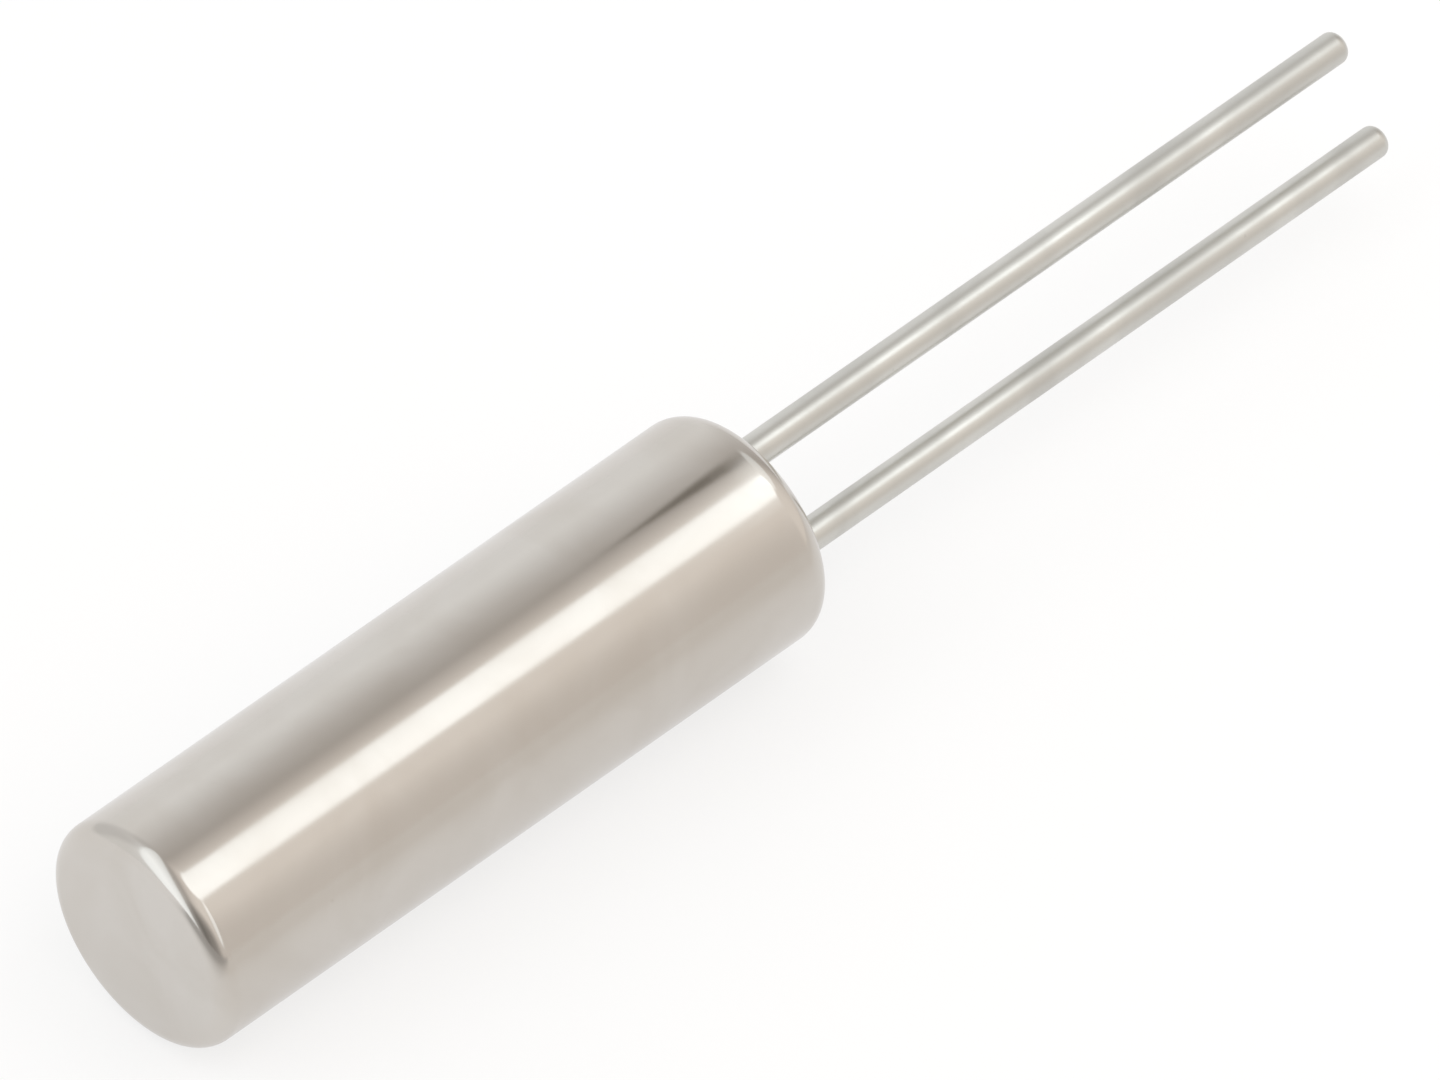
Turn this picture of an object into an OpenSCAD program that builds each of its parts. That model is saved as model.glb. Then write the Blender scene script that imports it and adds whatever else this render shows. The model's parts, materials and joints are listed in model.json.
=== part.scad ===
// Cylindrical quartz crystal with two wire leads, lying on its side as it comes to rest.
// A drawn metal can is pressed over a base: a metal ring filled with glass that seals in the leads.
// Inside the can a quartz tuning fork is soldered to the flattened inner ends of the leads.
//
// Each piece is drawn about the can's own axis, Z, with the base face at zero, the leads outside it
// at plus Z and the can at minus Z. laid_down() then turns the whole part onto its side:
// the leads point to +X, and the origin is on the floor, below the middle of the part.

/* [Can] */
// Outside diameter of the can
can_d = 1.9; // [1.7:0.05:3]
// Length of the can from its closed end to the base face
can_l = 6.15; // [5.2:0.05:9]
// Thickness of the drawn wall
can_wall = 0.16; // [0.1:0.01:0.2]
// Thickness of the closed end
can_end = 0.18; // [0.1:0.01:0.3]
// Radius of the edge round the closed end, outside
closed_edge_r = 0.16; // [0.05:0.01:0.25]
// Radius of the corner round the closed end, inside
inner_corner_r = 0.08; // [0.03:0.01:0.2]
// Radius of the shoulder rolled in at the lead end, outside
shoulder_r = 0.22; // [0.18:0.01:0.3]

/* [Base] */
// Length of the metal ring and of the glass in it
base_l = 1.1; // [0.7:0.05:1.6]
// Width of the ring's face that shows inside the can's rolled lip
ring_show = 0.05; // [0.02:0.01:0.1]
// Chamfer that leads the ring into the can
ring_chamfer = 0.07; // [0.02:0.01:0.12]
// Glass between a lead's wire and the ring
glass_web = 0.1; // [0.06:0.01:0.15]
// Depth to which the glass sinks between the ring and the leads
glass_dish = 0.05; // [0.02:0.01:0.08]
// Flat edge of the glass where it meets the ring
glass_edge = 0.02; // [0.01:0.01:0.04]
// Width of the glass that climbs each lead
glass_climb = 0.05; // [0.02:0.01:0.08]

/* [Leads] */
// Diameter of the bare wire
wire_d = 0.2; // [0.15:0.01:0.3]
// Thickness of the tin on the wire outside the base
tin_t = 0.03; // [0.005:0.005:0.04]
// Distance between the two leads, centre to centre
lead_pitch = 0.8; // [0.7:0.01:0.95]
// Length of the leads outside the base face
lead_l = 6.3; // [2:0.05:12]
// Rounding of the lead's cut end
lead_tip_r = 0.08; // [0.01:0.01:0.1]
// Round wire inside the can, from the glass to the flattened end
post_l = 0.35; // [0.1:0.05:0.6]
// Width of the flattened end
paddle_w = 0.3; // [0.22:0.01:0.4]
// Thickness of the flattened end
paddle_t = 0.1; // [0.06:0.01:0.14]
// Length of the flattened end
paddle_l = 0.75; // [0.5:0.05:1]

/* [Tuning fork] */
// Thickness of the quartz
fork_t = 0.12; // [0.08:0.01:0.2]
// Length of the fork's base, from its foot to the root of the tines
fork_base_l = 1.15; // [0.9:0.05:1.6]
// Quartz beyond the centre of each lead, at the side
fork_margin = 0.09; // [0.05:0.01:0.15]
// Height of the sloped shoulders below the tines
fork_slope_l = 0.2; // [0.1:0.05:0.4]
// Width of each tine
tine_w = 0.215; // [0.15:0.005:0.25]
// Slot between the tines
tine_slot = 0.11; // [0.06:0.01:0.16]
// Radius of the notch in each side of the fork's base
notch_r = 0.12; // [0.05:0.01:0.18]
// Straight side between the notch and the sloped shoulder
notch_land = 0.08; // [0.02:0.01:0.15]
// Clear space between the fork's foot and the round wire
foot_gap = 0.14; // [0.05:0.01:0.25]
// Clear space between the tines and the closed end
tine_gap = 0.6; // [0.2:0.05:1.2]

/* [Solder] */
// Thickness of the solder between the flattened end and the quartz
solder_t = 0.03; // [0.01:0.005:0.06]
// Width of each joint
solder_w = 0.17; // [0.1:0.01:0.25]
// Length of each joint
solder_l = 0.4; // [0.25:0.05:0.5]

/* [Rest] */
// Turn of the lead pair about the can's axis, from level
lead_roll = 57; // [0:1:180]

/* [Hidden] */
$fn = 96;
// Overshoot of a cutting shape past the face that it cuts
cut = 0.1;

// Radii of the pieces that fit inside one another, from the leads outwards
wire_r = wire_d / 2;
lead_r = wire_r + tin_t;
bore_r = lead_pitch / 2 + wire_r + glass_web;
mouth_r = bore_r + ring_show;
can_r = can_d / 2;
inside_r = can_r - can_wall;
// The ring's outer corner seats in the hollow of the rolled shoulder, which is never quite sharp
seat_r_min = 0.03;
seat_r = max(shoulder_r - can_wall, seat_r_min);

// Places along the axis, from the base face inwards
ring_face = -can_wall;
ring_foot = ring_face - base_l;
post_end = ring_foot - post_l;
fork_foot = post_end - foot_gap;
closed_face = -can_l;
closed_inside = closed_face + can_end;
fork_l = fork_foot - closed_inside - tine_gap;

// The sphere that dishes the glass passes through its flat edge
dish_a = bore_r - glass_edge;
dish_r = (dish_a * dish_a + glass_dish * glass_dish) / (2 * glass_dish);

// Heights of the stack on the flattened ends, from the leads' own plane
paddle_top = paddle_t / 2;
fork_bottom = paddle_top + solder_t;
fork_base_w = lead_pitch + 2 * fork_margin;
tines_w = 2 * tine_w + tine_slot;

// The corner left outside a circle of radius r, for rounding the corner at [r, r]
module corner_waste(r) {
  difference() {
    square(r + cut);
    circle(r);
  }
}

// A bar of width w and length l, from the origin towards minus Y, with a round far end
module round_ended(w, l) {
  translate([-w / 2, w / 2 - l])
    square([w, l - w / 2]);
  translate([0, w / 2 - l])
    circle(w / 2);
}

// An outline in X and Z, extruded along Y from y to y + t
module upright_plate(y, t) {
  translate([0, y + t, 0])
    rotate([90, 0, 0])
      linear_extrude(t)
        children();
}

// The part lies on the can's side, with its middle over the origin
module laid_down() {
  translate([(can_l - lead_l) / 2, 0, can_r])
    rotate([lead_roll, 0, 0])
      rotate([90, 0, 90])
        children();
}

// Half section of the can's outside: closed end below, rolled shoulder above
module can_outside() {
  difference() {
    translate([0, closed_face])
      square([can_r, can_l]);
    translate([can_r - shoulder_r, -shoulder_r])
      corner_waste(shoulder_r);
    translate([can_r - closed_edge_r, closed_face + closed_edge_r])
      mirror([0, 1])
        corner_waste(closed_edge_r);
  }
}

// Half section of the space inside the can, up to the underside of its lip
module can_inside() {
  difference() {
    translate([0, closed_inside])
      square([inside_r, ring_face - closed_inside]);
    translate([inside_r - seat_r, ring_face - seat_r])
      corner_waste(seat_r);
    translate([inside_r - inner_corner_r, closed_inside + inner_corner_r])
      mirror([0, 1])
        corner_waste(inner_corner_r);
  }
}

module can() {
  color([0.78, 0.75, 0.71])
    laid_down()
      rotate_extrude()
        difference() {
          can_outside();
          can_inside();
          translate([0, ring_face - cut])
            square([mouth_r, can_wall + 2 * cut]);
        }
}

module seal_ring() {
  color([0.70, 0.68, 0.64])
    laid_down()
      rotate_extrude()
        difference() {
          translate([bore_r, ring_foot])
            square([inside_r - bore_r, base_l]);
          translate([inside_r - seat_r, ring_face - seat_r])
            corner_waste(seat_r);
          translate([inside_r, ring_foot])
            rotate(45)
              square(ring_chamfer * sqrt(2), center = true);
        }
}

// What is hollowed out of the glass at a face: a dish, less the cone that climbs each lead
module glass_hollow() {
  difference() {
    translate([0, 0, dish_r - glass_dish])
      sphere(dish_r);
    for (side = [-1, 1])
      translate([side * lead_pitch / 2, 0, -glass_dish])
        cylinder(h = glass_dish, r1 = wire_r + glass_climb, r2 = lead_r);
  }
}

module glass_seal() {
  color([0.16, 0.19, 0.20])
    laid_down()
      difference() {
        translate([0, 0, ring_foot])
          cylinder(h = base_l, r = bore_r);
        translate([0, 0, ring_face])
          glass_hollow();
        translate([0, 0, ring_foot])
          mirror([0, 0, 1])
            glass_hollow();
        for (side = [-1, 1])
          translate([side * lead_pitch / 2, 0, ring_foot - cut])
            cylinder(h = base_l + 2 * cut, r = wire_r);
      }
}

// Half section of a lead: bare wire through the glass, tinned wire with a rounded end outside it
module lead_section() {
  translate([0, post_end])
    square([wire_r, ring_face - post_end]);
  difference() {
    translate([0, ring_face])
      square([lead_r, lead_l - ring_face]);
    translate([lead_r - lead_tip_r, lead_l - lead_tip_r])
      corner_waste(lead_tip_r);
  }
}

// One lead, on its own side of the axis, with its inner end pressed flat to carry the fork
module lead(side) {
  color([0.76, 0.76, 0.75])
    laid_down()
      translate([side * lead_pitch / 2, 0, 0]) {
        rotate_extrude()
          lead_section();
        upright_plate(-paddle_top, paddle_t)
          translate([0, post_end + wire_r])
            round_ended(paddle_w, paddle_l + wire_r);
      }
}

// Fork seen on its broad side, with its foot at the origin and its tines towards minus Y
module fork_outline() {
  difference() {
    polygon([
      [-fork_base_w / 2, 0],
      [fork_base_w / 2, 0],
      [fork_base_w / 2, fork_slope_l - fork_base_l],
      [tines_w / 2, -fork_base_l],
      [tines_w / 2, -fork_l],
      [-tines_w / 2, -fork_l],
      [-tines_w / 2, -fork_base_l],
      [-fork_base_w / 2, fork_slope_l - fork_base_l]
    ]);
    translate([0, -fork_l - cut])
      mirror([0, 1])
        round_ended(tine_slot, fork_l - fork_base_l + cut);
    for (side = [-1, 1])
      translate([side * fork_base_w / 2, fork_slope_l - fork_base_l + notch_land + notch_r])
        circle(notch_r);
  }
}

module tuning_fork() {
  color([0.86, 0.88, 0.90])
    laid_down()
      upright_plate(fork_bottom, fork_t)
        translate([0, fork_foot])
          fork_outline();
}

// One joint, under the foot of the fork and on top of a flattened end
module solder_joint(side) {
  color([0.66, 0.67, 0.68])
    laid_down()
      upright_plate(paddle_top, solder_t)
        translate([side * lead_pitch / 2, fork_foot])
          round_ended(solder_w, solder_l);
}

can();
seal_ring();
glass_seal();
lead(1);  // lead_1
lead(-1);  // lead_2
tuning_fork();
solder_joint(1);  // solder_joint_1
solder_joint(-1);  // solder_joint_2
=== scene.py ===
"""Looks of a cylinder quartz crystal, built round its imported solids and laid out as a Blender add-on.

The can lies along X, with its closed end at minus X and its leads towards plus X. Round pieces are
drawn as half sections, along X and out along Z, spun about X and then moved to their own axes.
Sizes are in metres. Places come from the frame.
"""

import json
import math

import bmesh
import bpy
from bpy.props import FloatProperty, FloatVectorProperty, IntProperty, PointerProperty
from mathutils import Matrix, Vector


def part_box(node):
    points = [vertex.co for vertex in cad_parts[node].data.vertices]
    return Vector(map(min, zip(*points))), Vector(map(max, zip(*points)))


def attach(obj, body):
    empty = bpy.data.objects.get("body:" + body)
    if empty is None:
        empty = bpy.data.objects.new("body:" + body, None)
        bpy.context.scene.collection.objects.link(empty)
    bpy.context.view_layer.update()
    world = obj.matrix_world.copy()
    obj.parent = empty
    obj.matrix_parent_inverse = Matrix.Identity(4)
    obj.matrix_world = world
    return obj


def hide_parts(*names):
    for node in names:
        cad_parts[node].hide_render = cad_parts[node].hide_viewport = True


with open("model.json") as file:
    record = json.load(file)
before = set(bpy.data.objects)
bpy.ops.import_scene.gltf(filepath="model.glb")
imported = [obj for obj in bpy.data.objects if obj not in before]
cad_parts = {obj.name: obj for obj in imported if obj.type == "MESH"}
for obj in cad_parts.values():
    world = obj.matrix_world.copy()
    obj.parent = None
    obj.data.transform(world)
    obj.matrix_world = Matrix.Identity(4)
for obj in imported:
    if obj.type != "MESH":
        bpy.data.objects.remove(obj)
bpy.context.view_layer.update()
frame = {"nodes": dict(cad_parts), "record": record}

bl_info = {
    "name": "Cylinder Crystal",
    "version": (1, 0, 0),
    "blender": (4, 5, 0),
    "location": "3D View > Sidebar > Crystal",
    "description": "Builds the visible pieces of a cylinder quartz crystal and the stage it lies on",
    "category": "Object",
}

MM = 0.001
MICRON = 0.000001
# Vertices closer than this are one vertex
MERGE = 0.05 * MICRON
# Edges that turn by more than this stay crisp
CRISP = math.radians(35)
# Straight stretches of a half section are cut into steps of about this length, and finer on the ring
LONG_STEP = 0.2 * MM
FINE_STEP = 0.1 * MM
# Sizes of the streaks and ripples in the glass, the grain in the solder and the pits in the quartz
GLASS_STREAK = 0.2 * MM
GLASS_RIPPLE = MM / 9
SOLDER_GRAIN = 0.03 * MM
QUARTZ_PIT = 0.025 * MM

# Places of the solids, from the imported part
MOUNTS = {mount["name"]: mount for mount in frame["record"]["mounts"]}
CAN_AXIS = Vector(MOUNTS["can_barrel"]["pos_m"])
CAN_RADIUS = MOUNTS["can_barrel"]["dims"]["r_mm"] * MM
CAN_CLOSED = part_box("can")[0].x
CAN_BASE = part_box("can")[1].x
RING_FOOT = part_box("seal_ring")[0].x
RING_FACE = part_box("seal_ring")[1].x
LEAD_AXES = {name: Vector(MOUNTS[name]["pos_m"]) for name in ("lead_1", "lead_2")}
LEAD_RADIUS = MOUNTS["lead_1"]["dims"]["r_mm"] * MM
LEAD_TIP = CAN_BASE + MOUNTS["lead_1"]["dims"]["length_mm"] * MM
LEAD_INNER_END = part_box("lead_1")[0].x
LEAD_OFFSET = (LEAD_AXES["lead_1"] - CAN_AXIS).yz
# Turn of the lead pair about the can's axis, and half the distance between the leads
PAIR_ROLL = math.atan2(LEAD_OFFSET.y, LEAD_OFFSET.x)
HALF_PITCH = LEAD_OFFSET.length
# Pieces are drawn about X. These move one to the can's axis, and turn it into the plane of the leads
TO_CAN_AXIS = Matrix.Translation((0, CAN_AXIS.y, CAN_AXIS.z))
TO_LEAD_PLANE = Matrix.Rotation(PAIR_ROLL, 4, "X")


def length(name, default, description):
    """A length that a user may change, in metres."""
    return FloatProperty(name=name, description=description, default=default, min=0.0,
                         precision=6, unit="LENGTH", subtype="DISTANCE")


def angle(name, default, description):
    """An angle that a user may change, given here in degrees."""
    return FloatProperty(name=name, description=description, default=math.radians(default),
                         unit="ROTATION", subtype="ANGLE")


def share(name, default, description):
    """A plain number from 0 to 1, such as a roughness."""
    return FloatProperty(name=name, description=description, default=default, min=0.0, max=1.0,
                         subtype="FACTOR")


def light_level(name, default, description):
    """The light that a strip adds to the tent, where 1 is white."""
    return FloatProperty(name=name, description=description, default=default, min=0.0, max=10.0)


def colour(name, default, description):
    """A linear colour."""
    return FloatVectorProperty(name=name, description=description, default=default, size=3,
                               min=0.0, max=1.0, subtype="COLOR")


def count(name, default, description):
    """How many steps a round or a bend is made of."""
    return IntProperty(name=name, description=description, default=default, min=3, max=512)


class CrystalCanSettings(bpy.types.PropertyGroup):
    """Sizes and finish of the drawn can."""

    end_thickness: length("Closed end", 0.18 * MM, "Thickness of the closed end")
    wall: length("Wall", 0.16 * MM, "Thickness of the drawn wall and of the rolled lip")
    closed_edge: length("Closed edge", 0.16 * MM, "Radius of the edge round the closed end")
    inner_corner: length("Inner corner", 0.08 * MM, "Radius inside the closed end")
    shoulder: length("Shoulder", 0.22 * MM, "Radius of the shoulder rolled in at the lead end")
    lip_edge: length("Lip edge", 0.015 * MM, "Radius of the edges of the rolled lip")
    steps: count("Steps", 192, "Steps round the can")
    metal: colour("Metal", (0.665, 0.635, 0.595), "Nickel silver, polished")
    dull: colour("Dull metal", (0.63, 0.595, 0.55), "Nickel silver where it was handled")
    roughness: share("Roughness", 0.13, "Roughness of the polished metal")
    dull_roughness: share("Dull roughness", 0.18, "Roughness where it was handled")


class CrystalBaseSettings(bpy.types.PropertyGroup):
    """Sizes and finish of the base: the ring and the glass in it."""

    glass_radius: length("Glass radius", 0.6 * MM, "Radius of the glass, which fills the ring's bore")
    ring_show: length("Ring face", 0.05 * MM, "Width of the ring's face inside the rolled lip")
    ring_lead_in: length("Lead-in", 0.07 * MM, "Chamfer that leads the ring into the can")
    glass_sink: length("Sink", 0.05 * MM, "Depth to which the glass sinks between ring and leads")
    glass_edge: length("Flat edge", 0.02 * MM, "Flat edge of the glass where it meets the ring")
    glass_climb: length("Climb", 0.06 * MM, "Reach of the glass that climbs each lead")
    plating: colour("Plating", (0.62, 0.60, 0.56), "Plated ring")
    dull_plating: colour("Dull plating", (0.527, 0.51, 0.476), "Plated ring where it was handled")
    roughness: share("Roughness", 0.24, "Roughness of the plating")
    dull_roughness: share("Dull roughness", 0.40, "Roughness where it was handled")
    glass: colour("Glass", (0.020, 0.030, 0.032), "Dark sealing glass")
    glass_streak: colour("Glass streak", (0.045, 0.065, 0.066), "Paler streaks in the glass")


class CrystalLeadSettings(bpy.types.PropertyGroup):
    """Sizes and finish of the leads."""

    tin: length("Tin", 0.03 * MM, "Thickness of the tin on the wire outside the base")
    tip_edge: length("Tip edge", 0.08 * MM, "Rounding of the cut end")
    post: length("Post", 0.35 * MM, "Round wire between the glass and the flattened end")
    paddle_width: length("Paddle width", 0.3 * MM, "Width of the flattened inner end")
    paddle_thickness: length("Paddle thickness", 0.1 * MM, "Thickness of the flattened inner end")
    steps: count("Steps", 64, "Steps round a lead")
    bright: colour("Bright tin", (0.685, 0.678, 0.64), "Tinned wire")
    grey: colour("Grey tin", (0.61, 0.603, 0.57), "Tin where it has dulled")
    roughness: share("Roughness", 0.30, "Roughness of the bright tin")
    dull_roughness: share("Dull roughness", 0.42, "Roughness where it has dulled")


class CrystalForkSettings(bpy.types.PropertyGroup):
    """Finish of the tuning fork and of the solder that holds it."""

    quartz: colour("Quartz", (0.90, 0.93, 0.95), "Clear quartz")
    pits: colour("Pits", (0.80, 0.84, 0.87), "Pits that etching leaves in the quartz")
    solder: colour("Solder", (0.56, 0.56, 0.57), "Solder")
    grain: colour("Grain", (0.42, 0.42, 0.43), "Darker edges of the solder's grain")


class CrystalStageSettings(bpy.types.PropertyGroup):
    """The camera, the floor and the light."""

    azimuth: angle("Azimuth", -43.94, "Turn of the camera about Z, from looking along Y")
    elevation: angle("Elevation", 46.32, "Height of the camera above the horizon")
    aim: FloatVectorProperty(name="Aim", description="Point in the middle of the picture",
                             default=(-0.365 * MM, -0.013 * MM, 0.932 * MM), unit="LENGTH",
                             subtype="TRANSLATION", precision=6)
    view_width: length("View width", 10.536 * MM, "Width of the picture at the aim point")
    lens: FloatProperty(name="Lens", description="Focal length in millimetres", default=1000.0, min=1.0,
                        unit="CAMERA")
    floor_radius: length("Floor radius", 400 * MM, "Radius of the floor")
    floor_colour: colour("Floor", (0.96, 0.96, 0.96), "Plain pale floor")
    floor_mirrored: colour("Mirrored floor", (0.90, 0.90, 0.91), "The floor as the metal mirrors it")
    floor_glow: share("Floor glow", 0.7, "Share of glow in the floor, where it is seen or mirrored")
    front_wall: colour("Front wall", (0.96, 0.90, 0.845), "Warm white side of the tent, in front")
    slit: colour("Slit", (0.52, 0.49, 0.46), "Dim slit in the tent, overhead")
    back_wall: colour("Back wall", (0.95, 0.95, 0.95), "White side of the tent, at the back")
    card_colour: colour("Card", (0.165, 0.145, 0.12), "Dark card over the leads")
    light_colour: colour("Lights", (0.82, 0.93, 1.0), "Daylight white of the strip lights")
    key_level: light_level("Key level", 0.70, "Light of the strip over the can")
    rim_level: light_level("Rim level", 0.5, "Light of the strips that line the closed end's edge")
    lead_level: light_level("Lead level", 0.42, "Light of the strip over the leads")
    glint_level: light_level("Glint level", 0.25, "Light of the strip beside the shoulder")


class CrystalSettings(bpy.types.PropertyGroup):
    """Everything that a user may change."""

    can: PointerProperty(type=CrystalCanSettings)
    base: PointerProperty(type=CrystalBaseSettings)
    leads: PointerProperty(type=CrystalLeadSettings)
    fork: PointerProperty(type=CrystalForkSettings)
    stage: PointerProperty(type=CrystalStageSettings)


# Node helpers

def add_node(tree, kind, inputs=None, **settings):
    """A node with its settings made and its inputs linked or set."""
    node = tree.nodes.new(kind)
    for name, value in settings.items():
        setattr(node, name, value)
    for name, value in (inputs or {}).items():
        if isinstance(value, bpy.types.NodeSocket):
            tree.links.new(value, node.inputs[name])
        else:
            node.inputs[name].default_value = value
    return node


def math_node(tree, operation, first, second):
    """The value of one sum, product or the like."""
    return add_node(tree, "ShaderNodeMath", {0: first, 1: second}, operation=operation).outputs[0]


def spread(tree, value, low, high):
    """A mask from 0 to 1 laid between two values."""
    node = add_node(tree, "ShaderNodeMapRange", {"Value": value, "To Min": low, "To Max": high})
    return node.outputs[0]


def mask_between(tree, value, none, full):
    """A mask that is 0 where the value is at or beyond one limit and 1 at or beyond the other."""
    node = add_node(tree, "ShaderNodeMapRange", {"Value": value, "From Min": none, "From Max": full})
    return node.outputs[0]


def product(tree, first, *others):
    """The product of masks and values."""
    for other in others:
        first = math_node(tree, "MULTIPLY", first, other)
    return first


def blend_colours(tree, mask, first, second):
    """The first colour where the mask is 0, the second where it is 1."""
    node = add_node(tree, "ShaderNodeMix", data_type="RGBA")
    for name, value in (("A_Color", first), ("B_Color", second)):
        socket = next(socket for socket in node.inputs if socket.identifier == name)
        if isinstance(value, bpy.types.NodeSocket):
            tree.links.new(value, socket)
        else:
            socket.default_value = (*value, 1)
    tree.links.new(mask, node.inputs["Factor"])
    return next(socket for socket in node.outputs if socket.identifier == "Result_Color")


def new_group(name, inputs, outputs):
    """An empty shader group, with its input and output nodes. Each input is (name, kind, default)."""
    group = bpy.data.node_groups.new(name, "ShaderNodeTree")
    for socket_name, kind, default in inputs:
        socket = group.interface.new_socket(socket_name, in_out="INPUT", socket_type=kind)
        if default is not None:
            socket.default_value = default
    for socket_name in outputs:
        group.interface.new_socket(socket_name, in_out="OUTPUT", socket_type="NodeSocketFloat")
    return group, group.nodes.new("NodeGroupInput").outputs, group.nodes.new("NodeGroupOutput")


def drawn_lines_group():
    """Fine lines along X, as a die leaves them. Density is in lines per metre."""
    name = "Drawn lines"
    if name in bpy.data.node_groups:
        return bpy.data.node_groups[name]
    group, given, result = new_group(
        name,
        [("Vector", "NodeSocketVector", None), ("Density", "NodeSocketFloat", 60000.0),
         ("Stretch", "NodeSocketFloat", 0.01)],
        ["Height"],
    )
    along = math_node(group, "MULTIPLY", given["Density"], given["Stretch"])
    scale = add_node(group, "ShaderNodeCombineXYZ",
                     {"X": along, "Y": given["Density"], "Z": given["Density"]})
    place = add_node(group, "ShaderNodeVectorMath", {0: given["Vector"], 1: scale.outputs[0]},
                     operation="MULTIPLY")
    lines = add_node(group, "ShaderNodeTexNoise",
                     {"Vector": place.outputs[0], "Scale": 1.0, "Detail": 3.0, "Roughness": 0.6})
    group.links.new(lines.outputs["Fac"], result.inputs["Height"])
    return group


def handling_group():
    """Soft smudges and small marks, as on a part that has been picked up. Size is in metres."""
    name = "Handling"
    if name in bpy.data.node_groups:
        return bpy.data.node_groups[name]
    group, given, result = new_group(
        name,
        [("Vector", "NodeSocketVector", None), ("Size", "NodeSocketFloat", 0.8 * MM)],
        ["Smudge", "Marks"],
    )
    scale = math_node(group, "DIVIDE", 1.0, given["Size"])
    place = add_node(group, "ShaderNodeVectorMath", {0: given["Vector"], "Scale": scale},
                     operation="SCALE")
    clouds = add_node(group, "ShaderNodeTexNoise",
                      {"Vector": place.outputs[0], "Scale": 1.0, "Detail": 4.0, "Distortion": 0.6})
    smudge = mask_between(group, clouds.outputs["Fac"], none=0.38, full=0.68)
    specks = add_node(group, "ShaderNodeTexNoise",
                      {"Vector": place.outputs[0], "Scale": 14.0, "Detail": 2.0})
    marks = mask_between(group, specks.outputs["Fac"], none=0.70, full=0.80)
    group.links.new(smudge, result.inputs["Smudge"])
    group.links.new(marks, result.inputs["Marks"])
    return group


def new_material(name):
    """A node material, with its tree and its shader."""
    material = bpy.data.materials.new(name)
    material.use_nodes = True
    return material, material.node_tree, material.node_tree.nodes["Principled BSDF"]


def bare_material(name):
    """A node material that has no shader yet, with its tree and the socket for one."""
    material, tree, shader = new_material(name)
    tree.nodes.remove(shader)
    return material, tree, tree.nodes["Material Output"].inputs["Surface"]


def centred(tree, centre):
    """Object coordinates measured from a point on the piece."""
    place = add_node(tree, "ShaderNodeTexCoord").outputs["Object"]
    moved = add_node(tree, "ShaderNodeMapping", {"Vector": place, "Location": -Vector(centre)})
    return moved.outputs[0]


def bumped(tree, height, depth, under=None):
    """A normal that follows a height from 0 to 1, over a depth in metres."""
    node = add_node(tree, "ShaderNodeBump", {"Height": height, "Strength": 1.0, "Distance": depth})
    if under is not None:
        tree.links.new(under, node.inputs["Normal"])
    return node.outputs["Normal"]


def drawn_metal(name, centre, colours, roughness, line_density, line_depth, ripple_size, ripple_depth):
    """Metal drawn along X: fine lines, a faint ripple, and smudges that dull it a little."""
    material, tree, shader = new_material(name)
    place = centred(tree, centre)
    lines = add_node(tree, "ShaderNodeGroup", node_tree=drawn_lines_group())
    handling = add_node(tree, "ShaderNodeGroup", node_tree=handling_group())
    for node in (lines, handling):
        tree.links.new(place, node.inputs["Vector"])
    lines.inputs["Density"].default_value = line_density
    ripple = add_node(tree, "ShaderNodeTexNoise",
                      {"Vector": place, "Scale": 1 / ripple_size, "Detail": 1.0})
    dulled = math_node(tree, "MAXIMUM", handling.outputs["Smudge"], handling.outputs["Marks"])
    tree.links.new(blend_colours(tree, dulled, *colours), shader.inputs["Base Color"])
    tree.links.new(spread(tree, dulled, *roughness), shader.inputs["Roughness"])
    waved = bumped(tree, ripple.outputs["Fac"], ripple_depth)
    tree.links.new(bumped(tree, lines.outputs["Height"], line_depth, waved), shader.inputs["Normal"])
    shader.inputs["Metallic"].default_value = 1.0
    return material


def sealing_glass(base):
    """Dark fired glass with paler streaks and a faintly rippled skin."""
    material, tree, shader = new_material("Sealing glass")
    place = centred(tree, CAN_AXIS)
    streaks = add_node(tree, "ShaderNodeTexNoise",
                       {"Vector": place, "Scale": 1 / GLASS_STREAK, "Detail": 3.0, "Distortion": 1.5})
    ripple = add_node(tree, "ShaderNodeTexNoise",
                      {"Vector": place, "Scale": 1 / GLASS_RIPPLE, "Detail": 1.0})
    streak = streaks.outputs["Fac"]
    tint = blend_colours(tree, streak, base.glass, base.glass_streak)
    tree.links.new(tint, shader.inputs["Base Color"])
    tree.links.new(spread(tree, streak, low=0.03, high=0.10), shader.inputs["Roughness"])
    tree.links.new(bumped(tree, ripple.outputs["Fac"], 2 * MICRON), shader.inputs["Normal"])
    shader.inputs["IOR"].default_value = 1.52
    return material


def frozen_solder(fork):
    """Solder with the fine grain of metal that has frozen."""
    material, tree, shader = new_material("Solder")
    place = centred(tree, CAN_AXIS)
    grains = add_node(tree, "ShaderNodeTexVoronoi", {"Vector": place, "Scale": 1 / SOLDER_GRAIN})
    grain = grains.outputs["Distance"]
    tree.links.new(blend_colours(tree, grain, fork.solder, fork.grain), shader.inputs["Base Color"])
    tree.links.new(spread(tree, grain, low=0.24, high=0.46), shader.inputs["Roughness"])
    tree.links.new(bumped(tree, grain, 1 * MICRON), shader.inputs["Normal"])
    shader.inputs["Metallic"].default_value = 1.0
    return material


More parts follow.
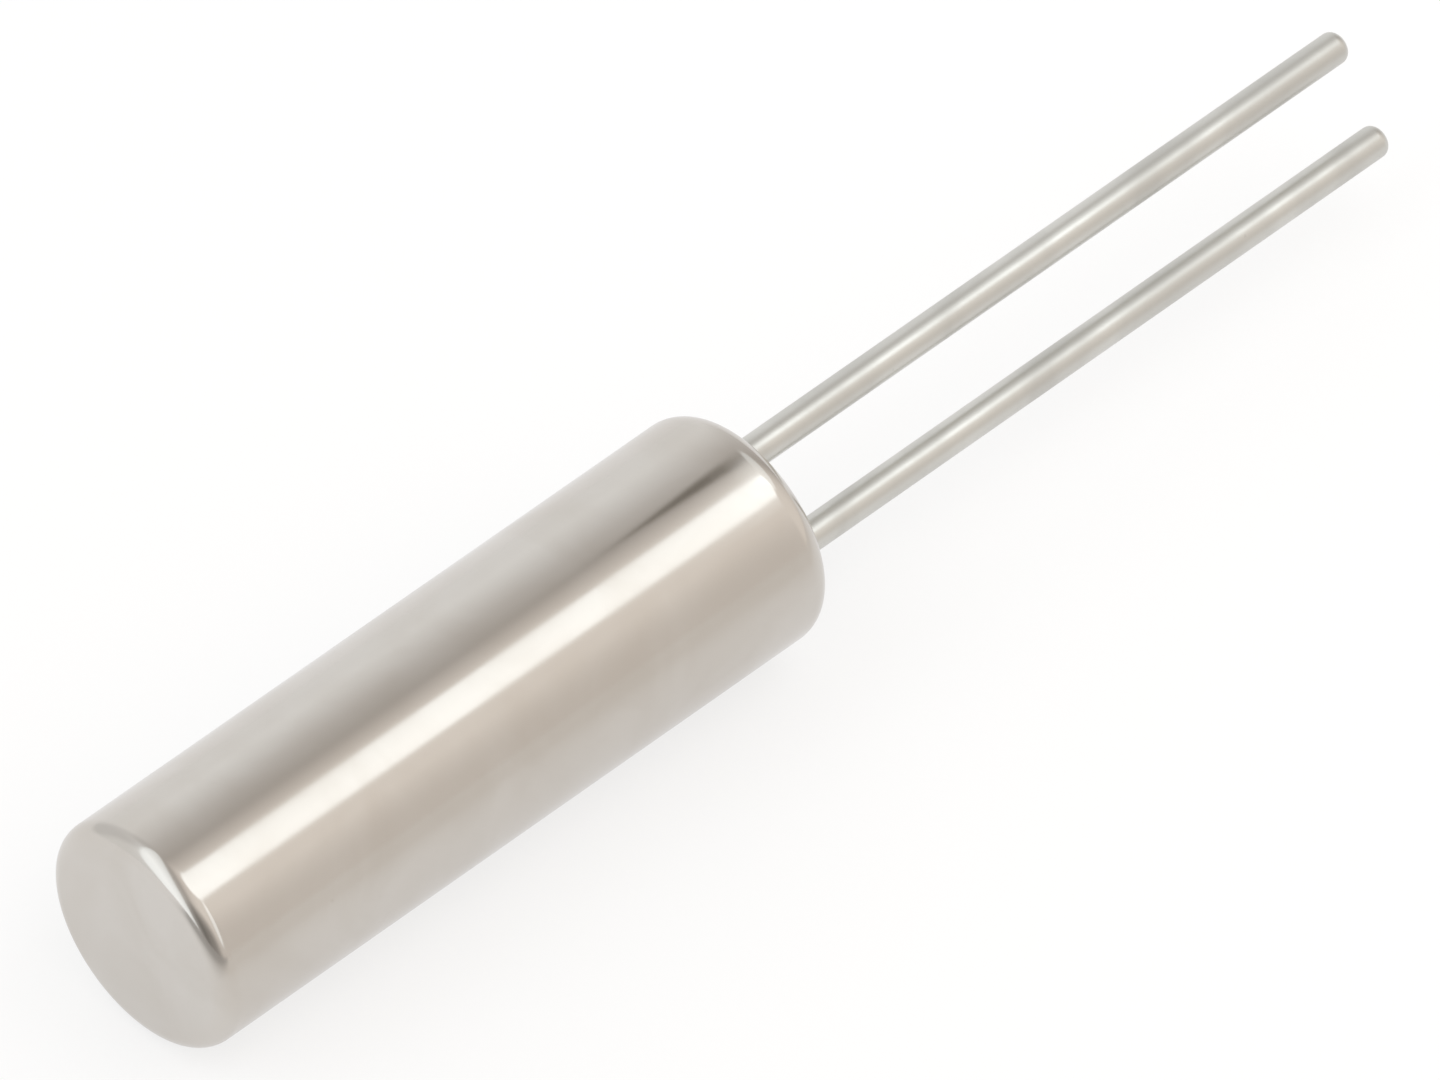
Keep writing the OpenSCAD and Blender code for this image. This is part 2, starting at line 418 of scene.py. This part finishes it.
def etched_quartz(fork):
    """Clear quartz with the faint pits that etching leaves."""
    material, tree, shader = new_material("Etched quartz")
    place = centred(tree, CAN_AXIS)
    pits = add_node(tree, "ShaderNodeTexVoronoi", {"Vector": place, "Scale": 1 / QUARTZ_PIT})
    pit = pits.outputs["Distance"]
    tree.links.new(blend_colours(tree, pit, fork.quartz, fork.pits), shader.inputs["Base Color"])
    tree.links.new(spread(tree, pit, low=0.06, high=0.22), shader.inputs["Roughness"])
    tree.links.new(bumped(tree, pit, 1 * MICRON), shader.inputs["Normal"])
    shader.inputs["IOR"].default_value = 1.544
    shader.inputs["Transmission Weight"].default_value = 0.85
    return material


# Mesh helpers

def half_section(bm, corners, closed=False):
    """A wire through corners given as (along X, out along Z). Returns its vertices."""
    verts = [bm.verts.new((along, 0, out)) for along, out in corners]
    ends = verts[1:] + verts[:1] if closed else verts[1:]
    for start, end in zip(verts, ends):
        bm.edges.new((start, end))
    return verts


def round_corner(bm, corner, radius, segments=24):
    """Rounds one corner of a wire to an arc."""
    bmesh.ops.bevel(bm, geom=[corner], offset=radius, offset_type="OFFSET", affect="VERTICES",
                    segments=segments, profile=0.5, material=-1)


def cut_long_edges(bm, longest):
    """Cuts each longer edge into even parts, so that flats stay flat in their shading beside rounds."""
    for edge in bm.edges[:]:
        cuts = int(edge.calc_length() / longest)
        if cuts:
            bmesh.ops.subdivide_edges(bm, edges=[edge], cuts=cuts)


def spin_full(bm, steps):
    """Spins the whole section once about X."""
    bmesh.ops.spin(bm, geom=bm.verts[:] + bm.edges[:], cent=(0, 0, 0), axis=(1, 0, 0), dvec=(0, 0, 0),
                   angle=math.tau, steps=steps, use_merge=True)
    bmesh.ops.remove_doubles(bm, verts=bm.verts, dist=MERGE)


def move(bm, matrix):
    """Moves the whole mesh to its place in the frame."""
    bmesh.ops.transform(bm, matrix=matrix, verts=bm.verts)


def sort_items(items, key):
    """Sorts the vertices, edges or faces of a mesh by a key that need not be a number."""
    ranks = {item: rank for rank, item in enumerate(sorted(items, key=key))}
    items.sort(key=lambda item: ranks[item])
    items.index_update()


def put_in_order(bm):
    """Sorts a mesh by place, so that each run makes the same one: spun faces come in any order."""
    sort_items(bm.verts, lambda vert: tuple(vert.co))
    for items in (bm.edges, bm.faces):
        sort_items(items, lambda item: sorted(vert.index for vert in item.verts))


def add_object(name, bm, material):
    """Makes a mesh an object of the scene, at the origin."""
    mesh = bpy.data.meshes.new(name)
    bm.to_mesh(mesh)
    bm.free()
    mesh.materials.append(material)
    made = bpy.data.objects.new(name, mesh)
    bpy.context.scene.collection.objects.link(made)
    return made


def add_piece(name, bm, material, node):
    """Makes a finished mesh a piece that rides on the part and stands for one of its solids."""
    bmesh.ops.remove_doubles(bm, verts=bm.verts, dist=MERGE)
    bmesh.ops.recalc_face_normals(bm, faces=bm.faces)
    put_in_order(bm)
    for face in bm.faces:
        face.smooth = True
    piece = add_object(name, bm, material)
    piece.data.set_sharp_from_angle(angle=CRISP)
    piece.modifiers.new("Even shading", "WEIGHTED_NORMAL").keep_sharp = True
    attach(piece, "root")
    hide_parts(node)


def dress(node, material):
    """Gives its finish to a solid that no new piece stands for."""
    mesh = frame["nodes"][node].data
    mesh.materials.clear()
    mesh.materials.append(material)


class CRYSTAL_OT_can(bpy.types.Operator):
    """Build the drawn can: closed end, barrel, rolled shoulder and lip"""

    bl_idname = "crystal.can"
    bl_label = "Can"

    def execute(self, context):
        can = context.scene.crystal.can
        base = context.scene.crystal.base
        inside = CAN_RADIUS - can.wall
        mouth = base.glass_radius + base.ring_show
        closed_inside = CAN_CLOSED + can.end_thickness
        bm = bmesh.new()
        corners = half_section(bm, [
            (CAN_CLOSED, 0), (CAN_CLOSED, CAN_RADIUS), (CAN_BASE, CAN_RADIUS), (CAN_BASE, mouth),
            (RING_FACE, mouth), (RING_FACE, inside), (closed_inside, inside), (closed_inside, 0),
        ])
        seat = can.shoulder - can.wall
        radii = (can.closed_edge, can.shoulder, can.lip_edge, can.lip_edge, seat, can.inner_corner)
        for corner, radius in zip(corners[1:], radii):
            round_corner(bm, corner, radius)
        cut_long_edges(bm, LONG_STEP)
        spin_full(bm, can.steps)
        move(bm, TO_CAN_AXIS)
        metal = drawn_metal("Polished can", CAN_AXIS, (can.metal, can.dull),
                            (can.roughness, can.dull_roughness), line_density=60000,
                            line_depth=0.03 * MICRON, ripple_size=1.6 * MM, ripple_depth=0.8 * MICRON)
        add_piece("drawn_can", bm, metal, "can")
        return {"FINISHED"}


class CRYSTAL_OT_ring(bpy.types.Operator):
    """Build the metal ring of the base, which is pressed into the can"""

    bl_idname = "crystal.ring"
    bl_label = "Seal ring"

    def execute(self, context):
        can = context.scene.crystal.can
        base = context.scene.crystal.base
        outside = CAN_RADIUS - can.wall
        bm = bmesh.new()
        corners = half_section(bm, [
            (RING_FOOT, base.glass_radius), (RING_FACE, base.glass_radius), (RING_FACE, outside),
            (RING_FOOT + base.ring_lead_in, outside), (RING_FOOT, outside - base.ring_lead_in),
        ], closed=True)
        round_corner(bm, corners[2], can.shoulder - can.wall, segments=12)
        cut_long_edges(bm, FINE_STEP)
        spin_full(bm, can.steps)
        move(bm, TO_CAN_AXIS)
        plating = drawn_metal("Plated ring", CAN_AXIS, (base.plating, base.dull_plating),
                              (base.roughness, base.dull_roughness), line_density=80000,
                              line_depth=0.1 * MICRON, ripple_size=0.4 * MM, ripple_depth=1 * MICRON)
        add_piece("plated_ring", bm, plating, "seal_ring")
        return {"FINISHED"}


class CRYSTAL_OT_glass(bpy.types.Operator):
    """Build the sealing glass: sunk between the ring and the leads, climbing each lead"""

    bl_idname = "crystal.glass"
    bl_label = "Glass seal"

    # Steps round the glass, and from its edge in to each lead
    segments = 96
    rings = 40

    def execute(self, context):
        base = context.scene.crystal.base
        wire = LEAD_RADIUS - context.scene.crystal.leads.tin
        bm = bmesh.new()
        self.half_face(bm, base, wire)
        for vert in bm.verts:
            vert.co.x = RING_FACE - self.depth(vert.co, base)
        bmesh.ops.mirror(bm, geom=bm.verts[:] + bm.edges[:] + bm.faces[:], matrix=Matrix(),
                         merge_dist=MERGE, axis="Y")
        bmesh.ops.remove_doubles(bm, verts=bm.verts, dist=MERGE)
        self.close_to_foot(bm)
        move(bm, TO_CAN_AXIS @ TO_LEAD_PLANE)
        add_piece("sealing_glass", bm, sealing_glass(base), "glass_seal")
        return {"FINISHED"}

    def half_face(self, bm, base, wire):
        """Half of the round face, in the plane of Y and Z, with the hole for the lead at plus Y."""
        facing = Matrix.Rotation(math.pi / 2, 4, "Y")
        bmesh.ops.create_circle(bm, cap_ends=True, segments=self.segments, radius=base.glass_radius,
                                matrix=facing)
        bmesh.ops.bisect_plane(bm, geom=bm.verts[:] + bm.edges[:] + bm.faces[:], dist=MERGE,
                               plane_co=(0, 0, 0), plane_no=(0, 1, 0), clear_inner=True)
        middle = [edge for edge in bm.edges if all(abs(vert.co.y) < MERGE for vert in edge.verts)]
        bmesh.ops.subdivide_edges(bm, edges=middle, cuts=self.segments // 2 - 1)
        bmesh.ops.delete(bm, geom=bm.faces[:], context="FACES_ONLY")
        bmesh.ops.create_circle(bm, segments=self.segments, radius=wire,
                                matrix=Matrix.Translation((0, HALF_PITCH, 0)) @ facing)
        made = bmesh.ops.bridge_loops(bm, edges=bm.edges[:])
        bmesh.ops.subdivide_edges(bm, edges=made["edges"], cuts=self.rings, use_grid_fill=True)

    def depth(self, place, base):
        """How far the glass lies below the ring's face at a place on its half."""
        reach = base.glass_radius - base.glass_edge
        sunk = base.glass_sink * max(0.0, 1 - (place.yz.length / reach) ** 2)
        from_lead = (place.yz - Vector((HALF_PITCH, 0))).length
        clear = min(max((from_lead - LEAD_RADIUS) / base.glass_climb, 0.0), 1.0)
        return sunk * (1 - (1 - clear) ** 2)

    def close_to_foot(self, bm):
        """Mirrors the face to the ring's foot and joins the two by the walls of the glass."""
        bmesh.ops.mirror(bm, geom=bm.verts[:] + bm.edges[:] + bm.faces[:], axis="X", merge_dist=0,
                         matrix=Matrix.Translation((-(RING_FACE + RING_FOOT) / 2, 0, 0)))
        rims = [edge for edge in bm.edges if edge.is_boundary]
        bmesh.ops.bridge_loops(bm, edges=rims, use_pairs=True)


class CRYSTAL_OT_leads(bpy.types.Operator):
    """Build both leads: tinned wire with rounded tips and inner ends pressed flat"""

    bl_idname = "crystal.leads"
    bl_label = "Leads"

    # How far each lead's smudges are shifted along it, so that the two differ
    smudge_shift = {"lead_1": 3.0 * MM, "lead_2": 1.5 * MM}
    # Steps from the round wire to the flattened end, and round the far edge of that end
    press_steps = 6
    end_steps = 8

    def execute(self, context):
        leads = context.scene.crystal.leads
        for name, axis in LEAD_AXES.items():
            bm = bmesh.new()
            self.wire(bm, leads)
            self.press_inner_end(bm, leads)
            move(bm, Matrix.Translation((0, axis.y, axis.z)) @ TO_LEAD_PLANE)
            middle = axis + Vector((self.smudge_shift[name], 0, 0))
            tin = drawn_metal("Tinned " + name, middle, (leads.bright, leads.grey),
                              (leads.roughness, leads.dull_roughness), line_density=90000,
                              line_depth=0.12 * MICRON, ripple_size=0.45 * MM, ripple_depth=5 * MICRON)
            add_piece("tinned_" + name, bm, tin, name)
        return {"FINISHED"}

    def wire(self, bm, leads):
        """The round wire: thicker by its tin outside the glass, open at its inner end."""
        bare = LEAD_RADIUS - leads.tin
        corners = half_section(bm, [
            (LEAD_TIP, 0), (LEAD_TIP, LEAD_RADIUS), (RING_FACE, LEAD_RADIUS), (RING_FACE, bare),
            (RING_FOOT - leads.post, bare),
        ])
        round_corner(bm, corners[1], leads.tip_edge, segments=10)
        cut_long_edges(bm, LONG_STEP)
        spin_full(bm, leads.steps)

    def press_inner_end(self, bm, leads):
        """Draws the open end out to the inner end, pressed flat and round at its far edge."""
        width_before = LEAD_RADIUS - leads.tin
        rim = [edge for edge in bm.edges if edge.is_boundary]
        for along, wide, thick in self.stops(leads):
            made = bmesh.ops.extrude_edge_only(bm, edges=rim)["geom"]
            rim = [item for item in made if isinstance(item, bmesh.types.BMEdge) and item.is_boundary]
            for vert in [item for item in made if isinstance(item, bmesh.types.BMVert)]:
                pressed = max(-thick, min(thick, vert.co.z))
                vert.co = (along, vert.co.y * wide / width_before, pressed)
            width_before = wide

    def stops(self, leads):
        """Places along the inner end, each with the half width and the half thickness there."""
        bare = LEAD_RADIUS - leads.tin
        half_width = leads.paddle_width / 2
        half_thick = leads.paddle_thickness / 2
        press_start = RING_FOOT - leads.post
        round_start = LEAD_INNER_END + half_width
        for step in range(1, self.press_steps + 1):
            done = step / self.press_steps
            eased = math.sin(done * math.pi / 2) ** 2
            yield (press_start - done * half_width, bare + (half_width - bare) * eased,
                   bare + (half_thick - bare) * eased)
        for step in range(self.end_steps + 1):
            turn = step / self.end_steps * math.pi / 2
            yield (round_start - half_width * math.sin(turn), half_width * math.cos(turn), half_thick)


class CRYSTAL_OT_fork(bpy.types.Operator):
    """Finish the quartz tuning fork and the solder that holds it"""

    bl_idname = "crystal.fork"
    bl_label = "Tuning fork"

    def execute(self, context):
        fork = context.scene.crystal.fork
        dress("tuning_fork", etched_quartz(fork))
        solder = frozen_solder(fork)
        for joint in ("solder_joint_1", "solder_joint_2"):
            dress(joint, solder)
        return {"FINISHED"}


class CRYSTAL_OT_stage(bpy.types.Operator):
    """Set the camera, the floor and the light"""

    bl_idname = "crystal.stage"
    bl_label = "Stage"

    # The camera sees from its distance divided by this to its distance times this
    clip_range = 100
    # Steps round the floor
    floor_steps = 128
    # The mirrored floor takes the front wall's colour and this share of its light, this far in front
    floor_dim = 0.72
    floor_far = 6 * MM
    # Left of the closed end the mirrored floor loses this share of its glow, from this far out,
    # over this fade, and only before a line at this place along Y
    dim_depth = 0.7
    dim_start = 1.8 * MM
    dim_fade = 4.0 * MM
    dim_line = 1.2 * MM
    # The tent's light on dull surfaces, set so that a colour looks as it is written
    tent_fill = 1.25
    # How far away the strips for the can and for the edge of its closed end hang
    tent_radius = 150 * MM
    # How much the dim slit leans to the front on its way down to the left
    slit_lean = 0.75
    # Shares of the walls' light: low on the front, at the top of the front, and low at the back
    front_low = 0.8
    front_top = 0.88
    back_low = 0.93
    # How far the slit has gone over to the back wall's tone at its edge
    slit_edge = 0.3
    # The tent's opening at the front left: its direction, the cosines of its rim and core, its depth
    opening = Vector((-0.72, -0.68, 0.14))
    opening_rim = 0.82
    opening_core = 0.985
    opening_depth = 0.62
    # A dim patch at the tent's back: its depth, and for each edge where it starts and where it is full
    patch_depth = 0.15
    patch_right = (0.35, 0.1)
    patch_left = (-0.6, -0.35)
    patch_front = (0.3, 0.6)
    # A dark card over the leads, narrow towards the can: only the can mirrors it, beside its shoulder
    card_height = 12.2 * MM
    card_tip = (4.2 * MM, 2.3 * MM)
    card_end = 5.7 * MM
    card_sides = (0.9 * MM, 4.0 * MM)
    # The strips for the leads and the shoulder hang low, so that the rest of the can mirrors neither
    near_height = 12 * MM
    # The shoulder's strip is turned to a place this far in from the base face
    shoulder_glint = 0.5 * MM

    def execute(self, context):
        stage = context.scene.crystal.stage
        self.camera(context.scene, stage)
        self.floor(stage)
        self.tent(context.scene, stage)
        self.card(stage)
        self.lights(context.scene, stage)
        context.scene.view_settings.view_transform = "Standard"
        return {"FINISHED"}

    def camera(self, scene, stage):
        """A long lens, so that parallel edges stay parallel."""
        data = bpy.data.cameras.new("Camera")
        data.lens = stage.lens
        flat = math.cos(stage.elevation)
        back = Vector((math.sin(stage.azimuth) * flat, -math.cos(stage.azimuth) * flat,
                       math.sin(stage.elevation)))
        distance = stage.view_width * data.lens / data.sensor_width
        data.clip_start = distance / self.clip_range
        data.clip_end = distance * self.clip_range
        camera = bpy.data.objects.new("Camera", data)
        camera.location = Vector(stage.aim) + back * distance
        camera.rotation_euler = back.to_track_quat("Z", "Y").to_euler()
        scene.collection.objects.link(camera)
        scene.camera = camera

    def floor(self, stage):
        """A plain pale disc."""
        bm = bmesh.new()
        bmesh.ops.create_circle(bm, cap_ends=True, segments=self.floor_steps, radius=stage.floor_radius)
        floor = add_object("floor", bm, self.pale_floor(stage))

    def pale_floor(self, stage):
        """A pale surface that keeps the shadow, with a glow where it is seen straight or mirrored."""
        material, tree, surface = bare_material("Pale floor")
        rays = add_node(tree, "ShaderNodeLightPath").outputs
        mirrored = math_node(tree, "MAXIMUM", rays["Is Glossy Ray"], rays["Is Transmission Ray"])
        seen = math_node(tree, "MAXIMUM", rays["Is Camera Ray"], mirrored)
        place = add_node(tree, "ShaderNodeTexCoord").outputs["Object"]
        where = add_node(tree, "ShaderNodeSeparateXYZ", {0: place}).outputs
        in_front = product(tree, mirrored, mask_between(tree, where["Y"], 0.0, -self.floor_far))
        near = blend_colours(tree, mirrored, (1, 1, 1), stage.floor_mirrored)
        tint = blend_colours(tree, in_front, near, Vector(stage.front_wall) * self.floor_dim)
        lost = product(tree, mirrored, self.lost_on_the_left(tree, where))
        glow = add_node(tree, "ShaderNodeEmission",
                        {"Color": tint, "Strength": math_node(tree, "SUBTRACT", 1.0, lost)})
        plain = add_node(tree, "ShaderNodeBsdfDiffuse", {"Color": (*stage.floor_colour, 1)})
        mixed = add_node(tree, "ShaderNodeMixShader", {
            0: product(tree, seen, stage.floor_glow), 1: plain.outputs[0], 2: glow.outputs[0]})
        tree.links.new(mixed.outputs[0], surface)
        return material

    def lost_on_the_left(self, tree, where):
        """What the mirrored floor's glow loses left of the closed end."""
        start = CAN_CLOSED - self.dim_start
        return product(tree, self.dim_depth,
                       mask_between(tree, where["X"], start, start - self.dim_fade),
                       mask_between(tree, where["Y"], self.dim_line, 0.0))

    def tent(self, scene, stage):
        """A white tent with a dim slit overhead. The camera sees plain white past the floor."""
        world = bpy.data.worlds.new("Tent")
        world.use_nodes = True
        tree = world.node_tree
        tree.nodes.clear()
        facing = add_node(tree, "ShaderNodeTexCoord").outputs["Generated"]
        toward = add_node(tree, "ShaderNodeSeparateXYZ", {0: facing}).outputs
        rays = add_node(tree, "ShaderNodeLightPath").outputs
        inside = add_node(tree, "ShaderNodeBackground", {
            "Color": self.tent_tone(tree, toward, stage),
            "Strength": self.tent_strength(tree, rays, facing, toward)})
        white = add_node(tree, "ShaderNodeBackground", {"Color": (1, 1, 1, 1), "Strength": 1.0})
        mixed = add_node(tree, "ShaderNodeMixShader",
                         {0: rays["Is Camera Ray"], 1: inside.outputs[0], 2: white.outputs[0]})
        add_node(tree, "ShaderNodeOutputWorld", {"Surface": mixed.outputs[0]})
        scene.world = world

    def tent_tone(self, tree, toward, stage):
        """The tent's colour, from the front wall over the slit to the back wall."""
        left = math_node(tree, "MINIMUM", toward["X"], 0.0)
        leaned = product(tree, left, self.slit_lean)
        across = math_node(tree, "SUBTRACT", toward["Y"], leaned)
        node = add_node(tree, "ShaderNodeValToRGB", {"Fac": mask_between(tree, across, -1.0, 1.0)})
        front, slit, back = Vector(stage.front_wall), Vector(stage.slit), Vector(stage.back_wall)
        # Each stop is a place across the tent, from -1 at the front to 1 at the back, and its tone
        stops = [
            (-1.0, front * self.front_low), (-0.86, front * self.front_low), (-0.68, front),
            (-0.4, front), (-0.1, front * self.front_top), (0.17, slit),
            (0.42, slit.lerp(back, self.slit_edge)), (0.78, back), (1.0, back * self.back_low),
        ]
        elements = node.color_ramp.elements
        while len(elements) < len(stops):
            elements.new(0.5)
        for element, (place, tone) in zip(elements, stops):
            element.position = (place + 1) / 2
            element.color = (*tone, 1)
        return node.outputs[0]

    def tent_strength(self, tree, rays, facing, toward):
        """The tent's light, less what its dim patch and its opening lose."""
        whole = spread(tree, rays["Is Diffuse Ray"], 1.0, self.tent_fill)
        patch = product(tree, self.patch_depth,
                        mask_between(tree, toward["X"], *self.patch_right),
                        mask_between(tree, toward["X"], *self.patch_left),
                        mask_between(tree, toward["Y"], *self.patch_front))
        aside = add_node(tree, "ShaderNodeVectorMath", {0: facing, 1: self.opening},
                         operation="DOT_PRODUCT").outputs["Value"]
        opening = product(tree, self.opening_depth,
                          mask_between(tree, aside, self.opening_rim, self.opening_core))
        return math_node(tree, "SUBTRACT", math_node(tree, "SUBTRACT", whole, patch), opening)

    def card(self, stage):
        """A three-cornered card that is seen only mirrored."""
        bm = bmesh.new()
        corners = [self.card_tip] + [(self.card_end, side) for side in self.card_sides]
        bm.faces.new([bm.verts.new((*corner, self.card_height)) for corner in corners])
        card = add_object("card", bm, self.dark_card(stage))
        card.visible_camera = card.visible_diffuse = card.visible_shadow = False

    def dark_card(self, stage):
        """One even dark tone, whatever light falls on it."""
        material, tree, surface = bare_material("Dark card")
        tone = add_node(tree, "ShaderNodeEmission", {"Color": (*stage.card_colour, 1), "Strength": 1.0})
        tree.links.new(tone.outputs[0], surface)
        return material

    def lights(self, scene, stage):
        """Strips for the can, its shoulder and the leads, and two that line the closed end's edge."""
        far, near = self.tent_radius, self.near_height
        leads = Vector(((CAN_BASE + LEAD_TIP) / 2, CAN_AXIS.y, CAN_AXIS.z))
        shoulder = Vector((CAN_BASE - self.shoulder_glint, CAN_AXIS.y, CAN_AXIS.z))
        # Each strip has a target, the way from there to it, a long axis, a stretch in degrees and a level
        strips = {
            "Key": (CAN_AXIS, far * Vector((0.292, -0.357, 0.887)), Vector((1, 0, 0)),
                    (45.4, 27.6), stage.key_level),
            "Left rim": (CAN_AXIS, far * Vector((-0.809, 0.179, 0.561)), Vector((0.587, 0.307, 0.748)),
                         (112, 36), stage.rim_level),
            "Front rim": (CAN_AXIS, far * Vector((0.06, -0.85, 0.52)), Vector((0.4, 0.5, 0.77)),
                          (45, 14), stage.rim_level),
            "Leads": (leads, near * Vector((0.48, -0.06, 0.875)), Vector((1, 0, 0)),
                      (32, 42), stage.lead_level),
            "Shoulder": (shoulder, near * Vector((0.479, -0.382, 0.791)), Vector((1, 0, 0)),
                         (4, 35), stage.glint_level),
        }
        for name, strip in strips.items():
            light = self.strip_light(name, *strip)
            light.data.color = stage.light_colour
            scene.collection.objects.link(light)

    def strip_light(self, name, target, away, along, stretch, level):
        """A soft oval light turned to its target. From there it looks so many degrees long and wide."""
        data = bpy.data.lights.new(name, "AREA")
        data.shape = "ELLIPSE"
        data.size, data.size_y = (2 * away.length * math.tan(math.radians(span) / 2) for span in stretch)
        area = math.pi / 4 * data.size * data.size_y
        data.energy = level * math.pi * area
        back = away.normalized()
        right = (along - back * back.dot(along)).normalized()
        turned = Matrix((right, back.cross(right), back)).transposed().to_4x4()
        light = bpy.data.objects.new(name, data)
        light.matrix_world = Matrix.Translation(target + away) @ turned
        return light


class CRYSTAL_PT_pieces(bpy.types.Panel):
    """Lists the pieces and their settings."""

    bl_idname = "CRYSTAL_PT_pieces"
    bl_label = "Crystal"
    bl_space_type = "VIEW_3D"
    bl_region_type = "UI"
    bl_category = "Crystal"

    def draw(self, context):
        for operator in OPERATORS:
            self.layout.operator(operator.bl_idname)
        settings = context.scene.crystal
        for group in (settings.can, settings.base, settings.leads, settings.fork, settings.stage):
            box = self.layout.box()
            for name in group.bl_rna.properties.keys():
                if name not in ("name", "rna_type"):
                    box.prop(group, name)


SETTINGS = (CrystalCanSettings, CrystalBaseSettings, CrystalLeadSettings, CrystalForkSettings,
            CrystalStageSettings, CrystalSettings)
OPERATORS = (CRYSTAL_OT_stage, CRYSTAL_OT_can, CRYSTAL_OT_ring, CRYSTAL_OT_glass, CRYSTAL_OT_leads,
             CRYSTAL_OT_fork)


def register():
    """Makes the settings, the operators and the panel known to Blender."""
    for item in (*SETTINGS, *OPERATORS, CRYSTAL_PT_pieces):
        bpy.utils.register_class(item)
    bpy.types.Scene.crystal = PointerProperty(type=CrystalSettings)


def unregister():
    """Takes them away again."""
    del bpy.types.Scene.crystal
    for item in reversed((*SETTINGS, *OPERATORS, CRYSTAL_PT_pieces)):
        bpy.utils.unregister_class(item)


def main():
    """Builds the stage and every piece."""
    register()
    bpy.ops.crystal.stage()
    bpy.ops.crystal.can()
    bpy.ops.crystal.ring()
    bpy.ops.crystal.glass()
    bpy.ops.crystal.leads()
    bpy.ops.crystal.fork()


if __name__ == "__main__":
    main()
